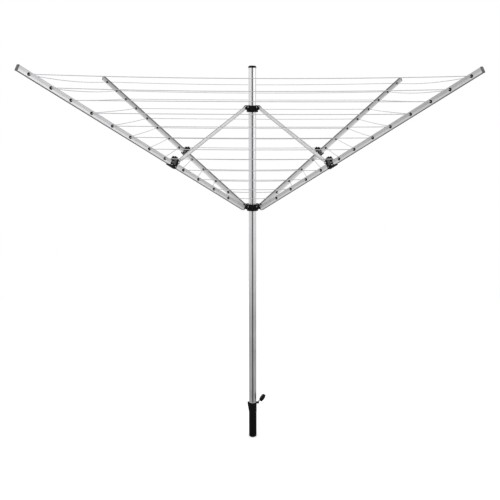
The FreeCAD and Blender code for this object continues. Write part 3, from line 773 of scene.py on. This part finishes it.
# ---------------------------------------------------------------- moulded parts
def build_mouldings():
    softened_parts = [
        ("ground_socket", "socket", 0.0012, socket_plastic, "socket_black"),
        ("socket_lid", "lid", 0.0012, socket_plastic, "socket_black"),
        ("foot_spigot", "foot", 0.0006, grey_plastic, "grey_plastic"),
        ("mast_top_cap", "mast", 0.0016, black_plastic, "black_plastic"),
        ("upper_hub", "head", 0.0011, black_plastic, "black_plastic"),
        ("lower_hub", "lower", 0.0011, black_plastic, "black_plastic"),
        ("upper_hub_lever", "upper_lever", 0.0013, black_plastic, "black_plastic"),
        ("lower_hub_lever", "lower_lever", 0.0013, black_plastic, "black_plastic"),
        ("upper_hub_liner", "head", 0.0003, black_plastic, "black_plastic"),
        ("lower_hub_liner", "lower", 0.0003, black_plastic, "black_plastic"),
    ]
    for number in ARMS:
        arm = f"arm_{number}"
        softened_parts += [
            (f"arm_root_{number}", arm, 0.0008, black_plastic, "black_plastic"),
            (f"arm_tip_cap_{number}", arm, 0.0018, cap_plastic, "cap_grey"),
            (f"strut_collar_{number}", arm, 0.0012, black_plastic, "black_plastic"),
            (f"strut_ends_{number}", f"strut_{number}", 0.0007, grey_plastic,
             "grey_plastic"),
        ]
    for node_name, body, width, material, slot in softened_parts:
        new_piece(f"{node_name}_moulding", softened(node_name, width), material, body,
                  (node_name,))
    paint("mast_foot_bush", black_plastic)


# ---------------------------------------------------------------- small fittings
def screw_head_mesh():
    """A pan head with a round recess, standing on the XZ plane and facing +Y."""
    profile = [(0.0, -0.0006), (0.0028, -0.0006), (0.0030, 0.0004), (0.0025, 0.0012),
               (0.0016, 0.0015), (0.0013, 0.0015), (0.0012, 0.0007), (0.0, 0.0007)]
    return lathe_mesh("screw_head", profile, 18, "Y")


def build_collar_fittings():
    """A raised panel on each cheek, and the screws that clamp the saddle to the arm."""
    screw = screw_head_mesh()
    for number in ARMS:
        arm = arm_matrix(number)
        panels = []
        places = []
        for side in (1, -1):
            panel = rounded_block("cheek_panel", PANEL_SIZE, PANEL_EDGE)
            centre = Vector((COLLAR_AT + PANEL_ALONG, side * COLLAR_HALF,
                             ARM_TOP - PANEL_BELOW_TOP))
            panels.append((panel, arm @ Matrix.Translation(centre)
                           @ Matrix.Rotation(PANEL_TILT, 4, "Y")))
            facing = Matrix.Rotation(math.pi if side < 0 else 0.0, 4, "Z")
            for along, up in SCREWS:
                spot = Vector((COLLAR_AT + along, side * COLLAR_HALF, ARM_BASE + up))
                places.append(arm @ Matrix.Translation(spot) @ facing)
        new_piece(f"collar_panels_{number}", smooth(joined("collar_panels", panels), 50),
                  panel_plastic, f"arm_{number}")
        mesh = repeated(f"collar_screws_{number}", screw, places, plated_steel)
        new_piece(f"collar_screw_heads_{number}", smooth(mesh, 40), plated_steel,
                  f"arm_{number}")


def build_lever_ridges():
    """Finger ridges across the lower half of each clamp lever."""
    bar = tube_mesh("ridge", [[Vector((-RIDGE_HALF, 0, 0)), Vector((RIDGE_HALF, 0, 0))]],
                    RIDGE_RADIUS, 10)
    for hub, height in (("upper", HIGH_PIVOT.z), ("lower", LOW_PIVOT.z)):
        face = LEVER_OUT + LEVER_EYE
        places = [Matrix.Translation((0, face, height - RIDGE_START - RIDGE_PITCH * i))
                  for i in range(RIDGES)]
        mesh = repeated(f"{hub}_ridges", bar, places, black_plastic)
        new_piece(f"{hub}_lever_ridges", smooth(mesh, 50), black_plastic, f"{hub}_lever")


def build_lid_strap_cover():
    """The pale sleeve on the lid's strap."""
    sleeve = rounded_block("strap_sleeve", SLEEVE_SIZE, SLEEVE_EDGE)
    place = (Matrix.Translation(LID_HINGE) @ Matrix.Rotation(LID_OPEN, 4, "Y")
             @ Matrix.Translation(SLEEVE_PLACE))
    new_piece("lid_strap_sleeve", joined("lid_strap_sleeve", [(sleeve, place)]), grey_plastic,
              "lid")


def build_line_knots():
    """The line's two ends are knotted beside the first and the last eyelet of arm 1."""
    loop = []
    for step in range(KNOT_STEPS + 1):
        turn = math.tau * step / KNOT_STEPS
        loop.append(Vector((math.sin(turn) + 2 * math.sin(2 * turn),
                            math.cos(turn) - 2 * math.cos(2 * turn),
                            -1.3 * math.sin(3 * turn))) * KNOT_SCALE)
    knot = tube_mesh("knot", [loop], KNOT_THICKNESS, 8, closed_ends=False)
    places = []
    for along in (EYELETS_ALONG[0], EYELETS_ALONG[-1]):
        spot = Vector((along, -EYELET_HALF - KNOT_GAP, EYELET_LEVEL))
        places.append(arm_matrix(1) @ Matrix.Translation(spot)
                      @ Matrix.Rotation(math.pi / 2, 4, "X"))
    mesh = repeated("line_knots", knot, places, line_vinyl)
    new_piece("line_end_knots", smooth(mesh, 60), line_vinyl, "arm_1")


build_camera()
build_light()
build_floor()
build_metal()
build_mouldings()
build_eyelets()
build_lines()
build_collar_fittings()
build_lever_ridges()
build_lid_strap_cover()
build_line_knots()
